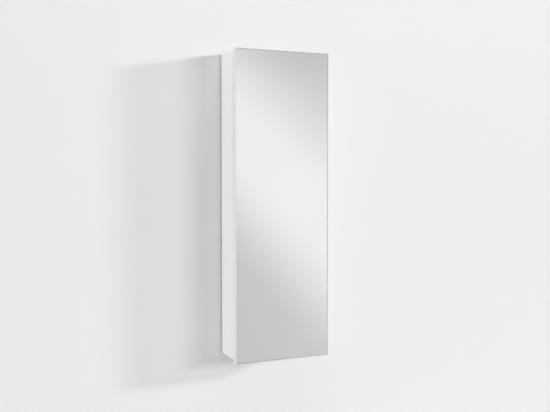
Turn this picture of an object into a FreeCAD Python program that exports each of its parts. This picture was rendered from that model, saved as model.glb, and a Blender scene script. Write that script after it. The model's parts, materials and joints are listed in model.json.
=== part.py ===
# Wall-hung shoe cabinet: a shallow white board carcass behind one full-height mirror door.
# The door turns on a continuous hinge down the right side and is held shut by two push latches.
# Inside, five bent-steel toe shelves, each with a bar in front, hold shoes standing toe down.
# Frame: X to the right, Y towards the wall, Z up. The origin is on the wall plane, at the centre
# of the four wall screws. Sizes are in millimetres.
import FreeCAD
import Part
import math
import os

from FreeCAD import Vector

# Carcass
CARCASS_WIDTH = 500.0
CARCASS_HEIGHT = 1500.0
CARCASS_DEPTH = 168.0
BOARD = 16.0
BAND_RADIUS = 1.0
WALL_GAP = 6.0
BACK_SHEET = 3.0
GROOVE_DEPTH = 6.0
GROOVE_PLAY = 0.2
BACK_SIDE_PLAY = 0.3

# Hanging rails and the wall screws
RAIL_HEIGHT = 80.0
WALL_HOLE_SPACING = 360.0
WALL_HOLE_RADIUS = 3.25
WASHER_HOLE_RADIUS = 10.0

# Door
DOOR_BOARD = 18.0
MIRROR = 4.0
BEVEL_WIDTH = 3.0
BEVEL_DEPTH = 1.1
DOOR_ABOVE_TOP = 6.0
DOOR_BELOW_BOTTOM = 16.0

# Continuous hinge: sheet leaves rolled round one long pin
KNUCKLE_COUNT = 37
KNUCKLE_RADIUS = 2.0
LEAF = 0.9
LEAF_EDGE_MARGIN = 1.5
HINGE_END_GAP = 10.0
HINGE_OUTSET = 0.5
PIN_PLAY = 0.05
KNUCKLE_END_PLAY = 0.3
KNUCKLE_NOTCH_PLAY = 0.4
CURL_OPENING_DEG = 70.0
HINGE_SCREWS = 12

# Countersunk screws. A cover is the board left beyond the end of what is let into it.
SCREW_HEAD_RADIUS = 2.9
SCREW_SHANK_RADIUS = 1.5
SCREW_TIP_RADIUS = 0.2
SCREW_COVER = 3.0
SCREW_DRIVE_WIDTH = 0.9
SCREW_DRIVE_LENGTH = 3.4
SCREW_DRIVE_DEPTH = 1.1

# Corner fittings: cam locks, their bolts, and dowels
CAM_RADIUS = 7.5
CAM_COVER = 3.5
CAM_REACH = 24.0
CAM_SLOT = 7.0
CAM_EDGE_DISTANCE = 34.0
CAM_DRIVE_WIDTH = 1.8
CAM_DRIVE_LENGTH = 9.0
CAM_DRIVE_DEPTH = 2.5
BOLT_THREAD_RADIUS = 2.5
BOLT_COVER = 5.0
BOLT_SHANK_RADIUS = 3.0
BOLT_NECK_RADIUS = 2.0
BOLT_NECK_LENGTH = 3.5
BOLT_HEAD_LENGTH = 3.0
BOLT_BORE_PLAY = 0.5
DOWEL_RADIUS = 3.0
DOWEL_LENGTH = 30.0
DOWEL_COVER = 5.0
DOWEL_CHAMFER = 0.8
RAIL_DOWEL_SPACING = 44.0

# Toe shelves and the bars in front of the shoes
ROWS = 5
SHELF_SHEET = 1.5
SHELF_BEND_RADIUS = 3.0
SHELF_FOOT_GAP = 14.0
SHELF_RISE = 30.0
SHELF_REAR_LIP = 22.0
SHELF_FRONT_LIP = 14.0
SHELF_BACK_PLAY = 2.0
SHELF_SIDE_PLAY = 2.0
SHELF_SETBACK = 14.0
BAR_RADIUS = 5.0
BAR_ABOVE_SHELF = 95.0
BAR_SETBACK = 24.0
BAR_END_PLAY = 0.5

# Bar sockets and shelf pins, pushed into drilled holes in the sides
SOCKET_FLANGE_RADIUS = 11.0
SOCKET_FLANGE = 2.5
SOCKET_CUP_WALL = 2.0
SOCKET_CUP_LENGTH = 10.0
SOCKET_BORE_PLAY = 0.1
SPIGOT_RADIUS = 2.5
SPIGOT_COVER = 7.0
PIN_COLLAR_RADIUS = 4.0
PIN_COLLAR = 1.5
PEG_RADIUS = 3.0
PEG_LENGTH = 10.0
PEG_FROM_SHELF_EDGE = 20.0
PEG_SEAT_PLAY = 0.05

# Push latches in the front edge of the left side
LATCH_SPACING = 900.0
LATCH_BODY_RADIUS = 5.0
LATCH_BODY_LENGTH = 50.0
LATCH_FLANGE_LIP = 1.5
LATCH_FLANGE = 0.6
PLUNGER_RADIUS = 3.0
PLUNGER_LENGTH = 34.0
PLUNGER_PLAY = 0.1
PLUNGER_STROKE = 2.0
PLUNGER_END_ROOM = 1.0
MAGNET_LENGTH = 3.0
MAGNET_CHAMFER = 0.4
STRIKE_RADIUS = 8.0
STRIKE = 1.2
STRIKE_CHAMFER = 0.4
STRIKE_GAP = 0.2

# Places that follow from the sizes
DOOR_GAP = 2 * KNUCKLE_RADIUS
X_SIDE = CARCASS_WIDTH / 2
X_INNER = X_SIDE - BOARD
Z_TOP = CARCASS_HEIGHT / 2
Z_CEILING = Z_TOP - BOARD
Y_SIDE_REAR = -WALL_GAP
Y_FRONT = Y_SIDE_REAR - CARCASS_DEPTH
Y_BACK_REAR = -BOARD
Y_BACK_FRONT = Y_BACK_REAR - BACK_SHEET
Y_DOOR_BACK = Y_FRONT - DOOR_GAP
Y_MIRROR_BACK = Y_DOOR_BACK - DOOR_BOARD
Y_MIRROR_FACE = Y_MIRROR_BACK - MIRROR
Z_DOOR_TOP = Z_TOP + DOOR_ABOVE_TOP
Z_DOOR_BOTTOM = -Z_TOP - DOOR_BELOW_BOTTOM
Z_RAIL = Z_CEILING - RAIL_HEIGHT / 2
HINGE_LENGTH = CARCASS_HEIGHT - 2 * HINGE_END_GAP
X_HINGE = X_SIDE + HINGE_OUTSET
Y_HINGE = Y_FRONT - KNUCKLE_RADIUS
PIN_RADIUS = KNUCKLE_RADIUS - LEAF - PIN_PLAY
LEAF_EDGE = BOARD - LEAF_EDGE_MARGIN
SCREW_LENGTH = LEAF + DOOR_BOARD - SCREW_COVER
CAM_DEPTH = BOARD - CAM_COVER
BOLT_THREAD_LENGTH = BOARD - BOLT_COVER
DOWEL_IN_SIDE = BOARD - DOWEL_COVER
SPIGOT_LENGTH = BOARD - SPIGOT_COVER
LATCH_FLANGE_RADIUS = LATCH_BODY_RADIUS + LATCH_FLANGE_LIP
ROW_PITCH = 2 * Z_CEILING / ROWS
X_LATCH = -X_SIDE + BOARD / 2


def box(x0, x1, y0, y1, z0, z1):
    """A block between two corners, given in any order."""
    low = Vector(min(x0, x1), min(y0, y1), min(z0, z1))
    return Part.makeBox(abs(x1 - x0), abs(y1 - y0), abs(z1 - z0), low)


def rod(radius, start, direction, length):
    """A round bar from start along direction."""
    return Part.makeCylinder(radius, length, Vector(*start), Vector(*direction))


def turned(profile, start, direction):
    """A solid of revolution: profile lists (distance along the axis, radius) from end to end."""
    points = [(profile[0][0], 0.0), *profile, (profile[-1][0], 0.0)]
    corners = [Vector(radius, 0, along) for along, radius in points]
    face = Part.Face(Part.makePolygon([*corners, corners[0]]))
    solid = face.revolve(Vector(0, 0, 0), Vector(0, 0, 1), 360)
    turn = FreeCAD.Rotation(Vector(0, 0, 1), Vector(*direction))
    solid.Placement = FreeCAD.Placement(Vector(*start), turn)
    return Part.makeCompound([solid]).Solids[0]


def joined(pieces):
    """One solid from touching or overlapping pieces."""
    whole = pieces[0].multiFuse(pieces[1:]) if len(pieces) > 1 else pieces[0]
    return whole.removeSplitter()


def cut_out(solid, tools):
    """The solid with every tool's volume taken away."""
    return solid.cut(Part.makeCompound(tools)) if tools else solid


def edges_at_depth(solid, y):
    """The edges of a solid that lie wholly at one depth."""
    return [edge for edge in solid.Edges if all(abs(v.Y - y) < 1e-6 for v in edge.Vertexes)]


def offset_path(points, distance):
    """A path of straight runs moved sideways by distance, to its left, with mitred corners."""
    normals = []
    for (y0, z0), (y1, z1) in zip(points, points[1:]):
        length = math.hypot(y1 - y0, z1 - z0)
        normals.append(((z0 - z1) / length, (y1 - y0) / length))
    moved = []
    for index, (y, z) in enumerate(points):
        before = normals[max(index - 1, 0)]
        after = normals[min(index, len(normals) - 1)]
        share = distance / (1 + before[0] * after[0] + before[1] * after[1])
        moved.append((y + share * (before[0] + after[0]), z + share * (before[1] + after[1])))
    return moved


def bent_sheet(points, thickness, bend_radius, x0, x1):
    """A folded sheet to the left of a path in Y and Z, with every fold rounded."""
    other_face = offset_path(points, thickness)
    outline = [Vector(x0, y, z) for y, z in [*points, *reversed(other_face)]]
    sheet = Part.Face(Part.makePolygon([*outline, outline[0]])).extrude(Vector(x1 - x0, 0, 0))
    for inner_corner, outer_corner in fold_corners(points, other_face):
        for corner, radius in ((inner_corner, bend_radius), (outer_corner, bend_radius + thickness)):
            sheet = sheet.makeFillet(radius, [edge_along_x(sheet, corner)])
    return sheet


def fold_corners(points, other_face):
    """For each fold, its corner on the inside of the bend and its corner on the outside."""
    pairs = []
    for index in range(1, len(points) - 1):
        (ay, az), (by, bz), (cy, cz) = points[index - 1:index + 2]
        turns_left = (by - ay) * (cz - bz) - (bz - az) * (cy - by) > 0
        here, there = points[index], other_face[index]
        pairs.append((there, here) if turns_left else (here, there))
    return pairs


def edge_along_x(solid, corner):
    """The edge that runs along X through a corner of the profile."""
    for edge in solid.Edges:
        ends = edge.Vertexes
        if len(ends) == 2 and all(math.hypot(v.Y - corner[0], v.Z - corner[1]) < 1e-4 for v in ends):
            return edge
    raise ValueError(f"no edge along X at {corner}")


# Corner fittings

def panel_ends():
    """Each end of the top and bottom boards: (which side, height of the board's upper face)."""
    return [(side, z) for z in (Z_TOP, -Z_CEILING) for side in (-1, 1)]


def fitting_depths():
    """Places along the depth of the two cam fittings at a board's end."""
    return (Y_FRONT + CAM_EDGE_DISTANCE, Y_BACK_FRONT - CAM_EDGE_DISTANCE)


def cam_bolt(side, y, z_upper):
    """The bolt screwed into a side board, with its head reaching into the cam."""
    head_end = CAM_REACH + BOLT_HEAD_LENGTH / 2
    neck_end = head_end - BOLT_HEAD_LENGTH
    neck_start = neck_end - BOLT_NECK_LENGTH
    profile = [
        (-BOLT_THREAD_LENGTH, BOLT_THREAD_RADIUS),
        (0, BOLT_THREAD_RADIUS),
        (0, BOLT_SHANK_RADIUS),
        (neck_start, BOLT_SHANK_RADIUS),
        (neck_start, BOLT_NECK_RADIUS),
        (neck_end, BOLT_NECK_RADIUS),
        (neck_end, BOLT_SHANK_RADIUS),
        (head_end, BOLT_SHANK_RADIUS),
    ]
    return turned(profile, (side * X_INNER, y, z_upper - BOARD / 2), (-side, 0, 0))


def cam_lock(side, y, z_upper):
    """The round cam let into the board's upper face, slotted for the bolt's head."""
    x = side * (X_INNER - CAM_REACH)
    cam = rod(CAM_RADIUS, (x, y, z_upper - CAM_DEPTH), (0, 0, 1), CAM_DEPTH)
    z_bolt = z_upper - BOARD / 2
    half = CAM_SLOT / 2
    slot = box(x - side * half, x + side * 2 * CAM_RADIUS, y - half, y + half, z_bolt - half, z_bolt + half)
    return cut_out(cam, [slot, *cross(x, y, z_upper)])


def cross(x, y, z_upper):
    """The two crossing slots of a cam's driver recess."""
    long, wide = CAM_DRIVE_LENGTH / 2, CAM_DRIVE_WIDTH / 2
    z_floor = z_upper - CAM_DRIVE_DEPTH
    return [
        box(x - long, x + long, y - wide, y + wide, z_floor, z_upper),
        box(x - wide, x + wide, y - long, y + long, z_floor, z_upper),
    ]


def dowel(side, y, z):
    """A chamfered dowel across the joint between a side and the board or rail that meets it."""
    start, end = -DOWEL_IN_SIDE, DOWEL_LENGTH - DOWEL_IN_SIDE
    small = DOWEL_RADIUS - DOWEL_CHAMFER
    profile = [
        (start, small),
        (start + DOWEL_CHAMFER, DOWEL_RADIUS),
        (end - DOWEL_CHAMFER, DOWEL_RADIUS),
        (end, small),
    ]
    return turned(profile, (side * X_INNER, y, z), (-side, 0, 0))


def corner_dowels(side):
    """The dowels at one side, between the cams of the top and bottom boards and in both rails."""
    y_middle = sum(fitting_depths()) / 2
    y_rail = (Y_SIDE_REAR + Y_BACK_REAR) / 2
    dowels = [dowel(side, y_middle, z - BOARD / 2) for z in (Z_TOP, -Z_CEILING)]
    for z in (-Z_RAIL, Z_RAIL):
        for shift in (-RAIL_DOWEL_SPACING / 2, RAIL_DOWEL_SPACING / 2):
            dowels.append(dowel(side, y_rail, z + shift))
    return dowels


def cam_holes():
    """The cams' pockets and the bolts' bores in the top and bottom boards."""
    holes = []
    for side, z_upper in panel_ends():
        for y in fitting_depths():
            x = side * (X_INNER - CAM_REACH)
            bore = BOLT_SHANK_RADIUS + BOLT_BORE_PLAY
            holes.append(rod(CAM_RADIUS, (x, y, z_upper - CAM_DEPTH), (0, 0, 1), CAM_DEPTH))
            holes.append(rod(bore, (side * X_INNER, y, z_upper - BOARD / 2), (-side, 0, 0), CAM_REACH))
    return holes


# Toe shelves, bars and what carries them

def row_foot(row):
    """Height of the lowest point of a row's shelf, counted from the bottom row."""
    return -Z_CEILING + row * ROW_PITCH + SHELF_FOOT_GAP


def shelf_path(row):
    """The lower face of a toe shelf from its rear lip to its front lip, in Y and Z."""
    y_rear = Y_BACK_FRONT - SHELF_BACK_PLAY
    y_front = Y_FRONT + SHELF_SETBACK + SHELF_SHEET
    z_foot = row_foot(row)
    z_nose = z_foot + SHELF_RISE
    return [
        (y_rear, z_foot + SHELF_REAR_LIP),
        (y_rear, z_foot),
        (y_front, z_nose),
        (y_front, z_nose - SHELF_FRONT_LIP),
    ]


def toe_shelf(row):
    """A bent steel shelf that slopes down to the back, so that shoes lean on the back sheet."""
    half = X_INNER - SHELF_SIDE_PLAY
    rear_lip, foot, nose, front_lip = shelf_path(row)
    return bent_sheet([front_lip, nose, foot, rear_lip], SHELF_SHEET, SHELF_BEND_RADIUS, -half, half)


def peg_places(row):
    """Axes of the two pegs under a shelf, in Y and Z, a seat's play below its lower face."""
    _, (y_rear, z_rear), (y_front, z_front), _ = shelf_path(row)
    slope = (z_front - z_rear) / (y_rear - y_front)
    drop = (PEG_RADIUS + PEG_SEAT_PLAY) * math.hypot(1, slope)
    places = []
    for y in (y_rear - PEG_FROM_SHELF_EDGE, y_front + PEG_FROM_SHELF_EDGE):
        places.append((y, z_rear + slope * (y_rear - y) - drop))
    return places


def shelf_pin(side, y, z):
    """A steel shelf pin: spigot in the side, collar on its face, peg under the shelf."""
    profile = [
        (-SPIGOT_LENGTH, SPIGOT_RADIUS),
        (0, SPIGOT_RADIUS),
        (0, PIN_COLLAR_RADIUS),
        (PIN_COLLAR, PIN_COLLAR_RADIUS),
        (PIN_COLLAR, PEG_RADIUS),
        (PEG_LENGTH, PEG_RADIUS),
    ]
    return turned(profile, (side * X_INNER, y, z), (-side, 0, 0))


def bar_place(row):
    """Axis of a row's bar, in Y and Z."""
    return Y_FRONT + BAR_SETBACK, row_foot(row) + SHELF_RISE + BAR_ABOVE_SHELF


def bar_socket(side, y, z):
    """A round end socket: spigot in the side, flange on its face, and a cup for the bar's end."""
    bore = BAR_RADIUS + SOCKET_BORE_PLAY
    cup_end = SOCKET_FLANGE + SOCKET_CUP_LENGTH
    profile = [
        (-SPIGOT_LENGTH, SPIGOT_RADIUS),
        (0, SPIGOT_RADIUS),
        (0, SOCKET_FLANGE_RADIUS),
        (SOCKET_FLANGE, SOCKET_FLANGE_RADIUS),
        (SOCKET_FLANGE, bore + SOCKET_CUP_WALL),
        (cup_end, bore + SOCKET_CUP_WALL),
        (cup_end, bore),
        (SOCKET_FLANGE, bore),
    ]
    return turned(profile, (side * X_INNER, y, z), (-side, 0, 0))


def retaining_bar(row):
    """The round bar that keeps a row's shoes from falling forward, between its two sockets."""
    y, z = bar_place(row)
    half = X_INNER - SOCKET_FLANGE - BAR_END_PLAY
    return rod(BAR_RADIUS, (-half, y, z), (1, 0, 0), 2 * half)


def side_spigots(side):
    """The drilled holes for every shelf pin and bar socket in one side."""
    places = [place for row in range(ROWS) for place in (*peg_places(row), bar_place(row))]
    return [rod(SPIGOT_RADIUS, (side * X_INNER, y, z), (side, 0, 0), SPIGOT_LENGTH) for y, z in places]


# Continuous hinge. Its section is drawn by two distances from the carcass: inward from the
# outer face of the right side, and forward from the carcass's front edge.

def hinge_point(inward, forward, z):
    """A point of the hinge's section, at a height."""
    return Vector(X_SIDE - inward, Y_FRONT - forward, z)


def curl_section(z):
    """Section of a carcass leaf's knuckle: flat sheet that rolls out and over round the pin."""
    centre = -HINGE_OUTSET
    inner_radius = KNUCKLE_RADIUS - LEAF
    root = centre + KNUCKLE_RADIUS + KNUCKLE_NOTCH_PLAY
    end_angle = math.radians(CURL_OPENING_DEG - 90)
    middle_angle = math.radians(CURL_OPENING_DEG / 2 + 90)

    def on_circle(radius, angle):
        forward = KNUCKLE_RADIUS + radius * math.sin(angle)
        return hinge_point(centre + radius * math.cos(angle), forward, z)

    outer = [on_circle(KNUCKLE_RADIUS, angle) for angle in (-math.pi / 2, middle_angle, end_angle)]
    inner = [on_circle(inner_radius, angle) for angle in (end_angle, middle_angle, -math.pi / 2)]
    root_outer, root_inner = hinge_point(root, 0, z), hinge_point(root, LEAF, z)
    edges = [
        Part.LineSegment(root_outer, outer[0]).toShape(),
        Part.Arc(*outer).toShape(),
        Part.LineSegment(outer[2], inner[0]).toShape(),
        Part.Arc(*inner).toShape(),
        Part.LineSegment(inner[2], root_inner).toShape(),
        Part.LineSegment(root_inner, root_outer).toShape(),
    ]
    return Part.Face(Part.Wire(edges))


def leaf_blank(first_knuckle):
    """A carcass-side leaf with every second knuckle, starting with the first or the second."""
    z_end = HINGE_LENGTH / 2
    pitch = HINGE_LENGTH / KNUCKLE_COUNT
    root = KNUCKLE_RADIUS + KNUCKLE_NOTCH_PLAY - HINGE_OUTSET
    pieces = [box(X_SIDE - root, X_SIDE - LEAF_EDGE, Y_FRONT, Y_FRONT - LEAF, -z_end, z_end)]
    for index in range(first_knuckle, KNUCKLE_COUNT, 2):
        start = -z_end + index * pitch + KNUCKLE_END_PLAY / 2
        pieces.append(curl_section(start).extrude(Vector(0, 0, pitch - KNUCKLE_END_PLAY)))
    return joined(pieces)


def across_gap(solid):
    """The same solid on the door's side of the gap, mirrored about the hinge pin."""
    return solid.mirror(Vector(0, Y_HINGE, 0), Vector(0, 1, 0))


def hinge_screw(z):
    """A countersunk screw through the carcass leaf into the right side, flush with the leaf."""
    neck = SCREW_HEAD_RADIUS - SCREW_SHANK_RADIUS
    profile = [
        (0, SCREW_HEAD_RADIUS),
        (neck, SCREW_SHANK_RADIUS),
        (SCREW_LENGTH - SCREW_SHANK_RADIUS, SCREW_SHANK_RADIUS),
        (SCREW_LENGTH, SCREW_TIP_RADIUS),
    ]
    x = X_SIDE - BOARD / 2
    y = Y_FRONT - LEAF
    return turned(profile, (x, y, z), (0, 1, 0))


def screw_drive(z):
    """The crossed driver slots in the head of the screw at that height."""
    x = X_SIDE - BOARD / 2
    y = Y_FRONT - LEAF
    long, wide = SCREW_DRIVE_LENGTH / 2, SCREW_DRIVE_WIDTH / 2
    return [
        box(x - long, x + long, y, y + SCREW_DRIVE_DEPTH, z - wide, z + wide),
        box(x - wide, x + wide, y, y + SCREW_DRIVE_DEPTH, z - long, z + long),
    ]


def screw_heights():
    """Heights of the screws, spread evenly along the hinge."""
    pitch = HINGE_LENGTH / HINGE_SCREWS
    return [-HINGE_LENGTH / 2 + (index + 0.5) * pitch for index in range(HINGE_SCREWS)]


def hinge_screws():
    """The carcass leaf's screws, first as plain shapes for drilling, then with their drives."""
    plain = [hinge_screw(z) for z in screw_heights()]
    driven = [cut_out(screw, screw_drive(z)) for screw, z in zip(plain, screw_heights())]
    return plain, driven


# Push latches

def latch_heights():
    """Heights of the upper and the lower latch."""
    return {"upper": LATCH_SPACING / 2, "lower": -LATCH_SPACING / 2}


def latch_housing(z):
    """The latch's sleeve in the side's front edge, with a thin flange and a bore for the plunger."""
    sleeve = rod(LATCH_BODY_RADIUS, (X_LATCH, Y_FRONT, z), (0, 1, 0), LATCH_BODY_LENGTH)
    flange = rod(LATCH_FLANGE_RADIUS, (X_LATCH, Y_FRONT - LATCH_FLANGE, z), (0, 1, 0), LATCH_FLANGE)
    bore = rod(
        PLUNGER_RADIUS + PLUNGER_PLAY,
        (X_LATCH, Y_FRONT - LATCH_FLANGE, z),
        (0, 1, 0),
        LATCH_FLANGE + plunger_reach() + PLUNGER_STROKE + PLUNGER_END_ROOM,
    )
    return cut_out(joined([sleeve, flange]), [bore])


def plunger_tip():
    """Where the plunger's magnet stops, just short of the strike plate on the door."""
    return Y_DOOR_BACK + STRIKE + STRIKE_GAP


def plunger_reach():
    """How far the plunger goes into the side behind its front edge."""
    return PLUNGER_LENGTH - (Y_FRONT - plunger_tip())


def latch_plunger(z):
    """The sliding plunger behind its magnet."""
    start = (X_LATCH, plunger_tip() + MAGNET_LENGTH, z)
    return rod(PLUNGER_RADIUS, start, (0, 1, 0), PLUNGER_LENGTH - MAGNET_LENGTH)


def latch_magnet(z):
    """The magnet at the plunger's front end, with its rim taken off."""
    magnet = rod(PLUNGER_RADIUS, (X_LATCH, plunger_tip(), z), (0, 1, 0), MAGNET_LENGTH)
    return magnet.makeChamfer(MAGNET_CHAMFER, edges_at_depth(magnet, plunger_tip()))


def strike_plate(z):
    """The steel disc on the back of the door that the latch's magnet holds."""
    profile = [
        (0, STRIKE_RADIUS),
        (STRIKE - STRIKE_CHAMFER, STRIKE_RADIUS),
        (STRIKE, STRIKE_RADIUS - STRIKE_CHAMFER),
    ]
    return turned(profile, (X_LATCH, Y_DOOR_BACK, z), (0, 1, 0))


# Boards

def groove_for_back():
    """The space that the grooves round the carcass leave for the back sheet."""
    x, z = X_INNER + GROOVE_DEPTH, Z_CEILING + GROOVE_DEPTH
    play = GROOVE_PLAY / 2
    return box(-x, x, Y_BACK_FRONT - play, Y_BACK_REAR + play, -z, z)


def side_panel(side):
    """A side board, rounded on every banded edge, with its groove, drillings and bores."""
    board = box(side * X_INNER, side * X_SIDE, Y_FRONT, Y_SIDE_REAR, -Z_TOP, Z_TOP)
    board = board.makeFillet(BAND_RADIUS, board.Edges)
    bolt_holes = [
        rod(BOLT_THREAD_RADIUS, (side * X_INNER, y, z - BOARD / 2), (side, 0, 0), BOLT_THREAD_LENGTH)
        for end, z in panel_ends() if end == side
        for y in fitting_depths()
    ]
    return cut_out(board, [groove_for_back(), *bolt_holes, *corner_dowels(side), *side_spigots(side)])


def level_panel(z_upper):
    """The top or the bottom board, between the sides."""
    board = box(-X_INNER, X_INNER, Y_FRONT, Y_SIDE_REAR, z_upper - BOARD, z_upper)
    long_edges = [edge for edge in edges_at_depth(board, Y_FRONT) if edge.Length > BOARD]
    board = board.makeFillet(BAND_RADIUS, long_edges)
    dowels = [*corner_dowels(-1), *corner_dowels(1)]
    return cut_out(board, [groove_for_back(), *cam_holes(), *dowels])


def wall_holes(radius, y_front, y_rear):
    """Round tools on the axes of the four wall screws."""
    return [
        rod(radius, (x, y_front, z), (0, 1, 0), y_rear - y_front)
        for x in (-WALL_HOLE_SPACING / 2, WALL_HOLE_SPACING / 2)
        for z in (-Z_RAIL, Z_RAIL)
    ]


def hanging_rail(z):
    """A rail behind the back sheet that stands proud of the sides and takes two wall screws."""
    rail = box(-X_INNER, X_INNER, Y_BACK_REAR, 0, z - RAIL_HEIGHT / 2, z + RAIL_HEIGHT / 2)
    dowels = [*corner_dowels(-1), *corner_dowels(1)]
    return cut_out(rail, [*wall_holes(WALL_HOLE_RADIUS, Y_BACK_REAR, 0), *dowels])


def back_panel():
    """The thin back sheet in its grooves, with room for washers at the wall screws."""
    x = X_INNER + GROOVE_DEPTH - BACK_SIDE_PLAY
    z = Z_CEILING + GROOVE_DEPTH - BACK_SIDE_PLAY
    sheet = box(-x, x, Y_BACK_FRONT, Y_BACK_REAR, -z, z)
    return cut_out(sheet, wall_holes(WASHER_HOLE_RADIUS, Y_BACK_FRONT, Y_BACK_REAR))


def door_panel():
    """The door's board, a little taller than the carcass at both ends."""
    board = box(-X_SIDE, X_SIDE, Y_MIRROR_BACK, Y_DOOR_BACK, Z_DOOR_BOTTOM, Z_DOOR_TOP)
    return board.makeFillet(BAND_RADIUS, edges_at_depth(board, Y_DOOR_BACK))


def mirror_glass():
    """The mirror pane over the whole front of the door, bevelled round its face."""
    y_shoulder = Y_MIRROR_FACE + BEVEL_DEPTH
    x_face = X_SIDE - BEVEL_WIDTH
    z_foot, z_head = Z_DOOR_BOTTOM + BEVEL_WIDTH, Z_DOOR_TOP - BEVEL_WIDTH
    slab = box(-X_SIDE, X_SIDE, y_shoulder, Y_MIRROR_BACK, Z_DOOR_BOTTOM, Z_DOOR_TOP)
    bevel = Part.makeWedge(
        -x_face, Y_MIRROR_FACE, z_foot, Z_DOOR_BOTTOM, -X_SIDE,
        x_face, y_shoulder, z_head, Z_DOOR_TOP, X_SIDE,
    )
    return joined([slab, bevel])


def build():
    """Every node of the cabinet, by name."""
    screws_plain, screws = hinge_screws()
    screw_tools = Part.makeCompound(screws_plain)
    door_screw_tools = across_gap(screw_tools)
    latch_bores = [
        rod(LATCH_BODY_RADIUS, (X_LATCH, Y_FRONT, z), (0, 1, 0), LATCH_BODY_LENGTH)
        for z in latch_heights().values()
    ]
    nodes = {
        "side_panel_left": cut_out(side_panel(-1), latch_bores),
        "side_panel_right": side_panel(1).cut(screw_tools),
        "top_panel": level_panel(Z_TOP),
        "bottom_panel": level_panel(-Z_CEILING),
        "back_panel": back_panel(),
        "hanging_rail_upper": hanging_rail(Z_RAIL),
        "hanging_rail_lower": hanging_rail(-Z_RAIL),
        "corner_dowels": [*corner_dowels(-1), *corner_dowels(1)],
        "cam_bolts": [cam_bolt(side, y, z) for side, z in panel_ends() for y in fitting_depths()],
        "cam_locks": [cam_lock(side, y, z) for side, z in panel_ends() for y in fitting_depths()],
        "hinge_leaf_carcass": leaf_blank(0).cut(screw_tools),
        "hinge_screws_carcass": screws,
        "hinge_pin": rod(PIN_RADIUS, (X_HINGE, Y_HINGE, -HINGE_LENGTH / 2), (0, 0, 1), HINGE_LENGTH),
        "door_panel": door_panel().cut(door_screw_tools),
        "mirror_glass": mirror_glass(),
        "hinge_leaf_door": across_gap(leaf_blank(1)).cut(door_screw_tools),
        "hinge_screws_door": [across_gap(screw) for screw in screws],
    }
    pegs = [place for row in range(ROWS) for place in peg_places(row)]
    bars = [bar_place(row) for row in range(ROWS)]
    nodes["shelf_pins"] = [shelf_pin(side, *place) for side in (-1, 1) for place in pegs]
    nodes["bar_sockets"] = [bar_socket(side, *place) for side in (-1, 1) for place in bars]
    for row in range(ROWS):
        nodes[f"toe_shelf_{row + 1}"] = toe_shelf(row)
        nodes[f"retaining_bar_{row + 1}"] = retaining_bar(row)
    for name, z in latch_heights().items():
        nodes[f"latch_housing_{name}"] = latch_housing(z)
        nodes[f"latch_plunger_{name}"] = latch_plunger(z)
        nodes[f"latch_magnet_{name}"] = latch_magnet(z)
        nodes[f"strike_plate_{name}"] = strike_plate(z)
    return nodes


def main():
    os.makedirs("parts", exist_ok=True)
    for name, made in build().items():
        pieces = made if isinstance(made, list) else [made]
        shape = Part.makeCompound([solid for piece in pieces for solid in piece.Solids])
        if not shape.isValid():
            raise ValueError(f"{name} is not a valid shape")
        shape.exportStep(f"parts/{name}.step")
        print(f"{name}: {len(shape.Solids)} solids, {shape.Volume / 1000:.2f} cm3")


main()
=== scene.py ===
# %% [markdown]
# # A mirrored shoe cabinet
# The cabinet is a shallow white box that hangs on a wall, closed by one tall mirror. Its pieces arrive
# as finished solids in metres, with the wall at y = 0, the mirror facing -Y and +Z up. This lesson gives
# them their finishes, lights them softly and looks at them from where the photograph was taken. The box
# around the solids is kept here, and the wall stands just behind it.

# %% Load the cabinet
import json
import math

import bmesh
import bpy
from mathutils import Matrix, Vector


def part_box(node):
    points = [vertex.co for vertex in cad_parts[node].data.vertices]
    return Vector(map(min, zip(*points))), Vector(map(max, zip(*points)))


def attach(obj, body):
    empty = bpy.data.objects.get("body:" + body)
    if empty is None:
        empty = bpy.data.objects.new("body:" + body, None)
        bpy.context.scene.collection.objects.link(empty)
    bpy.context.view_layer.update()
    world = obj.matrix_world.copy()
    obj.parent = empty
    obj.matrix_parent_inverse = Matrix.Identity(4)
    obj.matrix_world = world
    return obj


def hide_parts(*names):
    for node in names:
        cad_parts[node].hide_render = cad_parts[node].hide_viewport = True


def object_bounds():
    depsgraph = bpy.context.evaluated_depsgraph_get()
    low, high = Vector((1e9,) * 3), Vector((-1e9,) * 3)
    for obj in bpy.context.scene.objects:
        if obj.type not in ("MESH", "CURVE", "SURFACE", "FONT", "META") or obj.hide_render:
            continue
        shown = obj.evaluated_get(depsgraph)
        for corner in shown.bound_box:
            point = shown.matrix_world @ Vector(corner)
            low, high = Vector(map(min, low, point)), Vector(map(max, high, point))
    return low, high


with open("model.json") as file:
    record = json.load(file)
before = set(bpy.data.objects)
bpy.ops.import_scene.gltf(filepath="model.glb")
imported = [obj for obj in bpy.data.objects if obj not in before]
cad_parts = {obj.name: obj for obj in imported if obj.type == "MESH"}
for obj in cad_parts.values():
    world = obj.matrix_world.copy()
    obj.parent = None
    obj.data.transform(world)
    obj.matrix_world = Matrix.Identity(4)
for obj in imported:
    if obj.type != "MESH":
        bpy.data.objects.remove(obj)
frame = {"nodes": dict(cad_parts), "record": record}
NODES = frame["nodes"]
CAD_BOX = [list(corner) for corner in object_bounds()]
MM = 0.001
print(len(NODES), "solids between", CAD_BOX[0], "and", CAD_BOX[1])

# %% [markdown]
# ## The camera
# Four corners of a rectangle of known size are enough to find a camera, and the mirror gives four clear
# ones. The place, the two angles and the focal length below put all four within half a pixel of where
# they are seen. A lens in millimetres follows from the focal length in pixels, because both are measured
# against the width of the picture.

# %% Stand the camera where the photograph was taken
IMAGE_WIDTH_PX = 550
FOCAL_LENGTH_PX = 791.0
CAMERA_PLACE = (-1.6253, -3.7397, 0.1604)
CAMERA_TURN_RIGHT = math.radians(24.085)
CAMERA_TILT_DOWN = math.radians(2.403)

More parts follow.
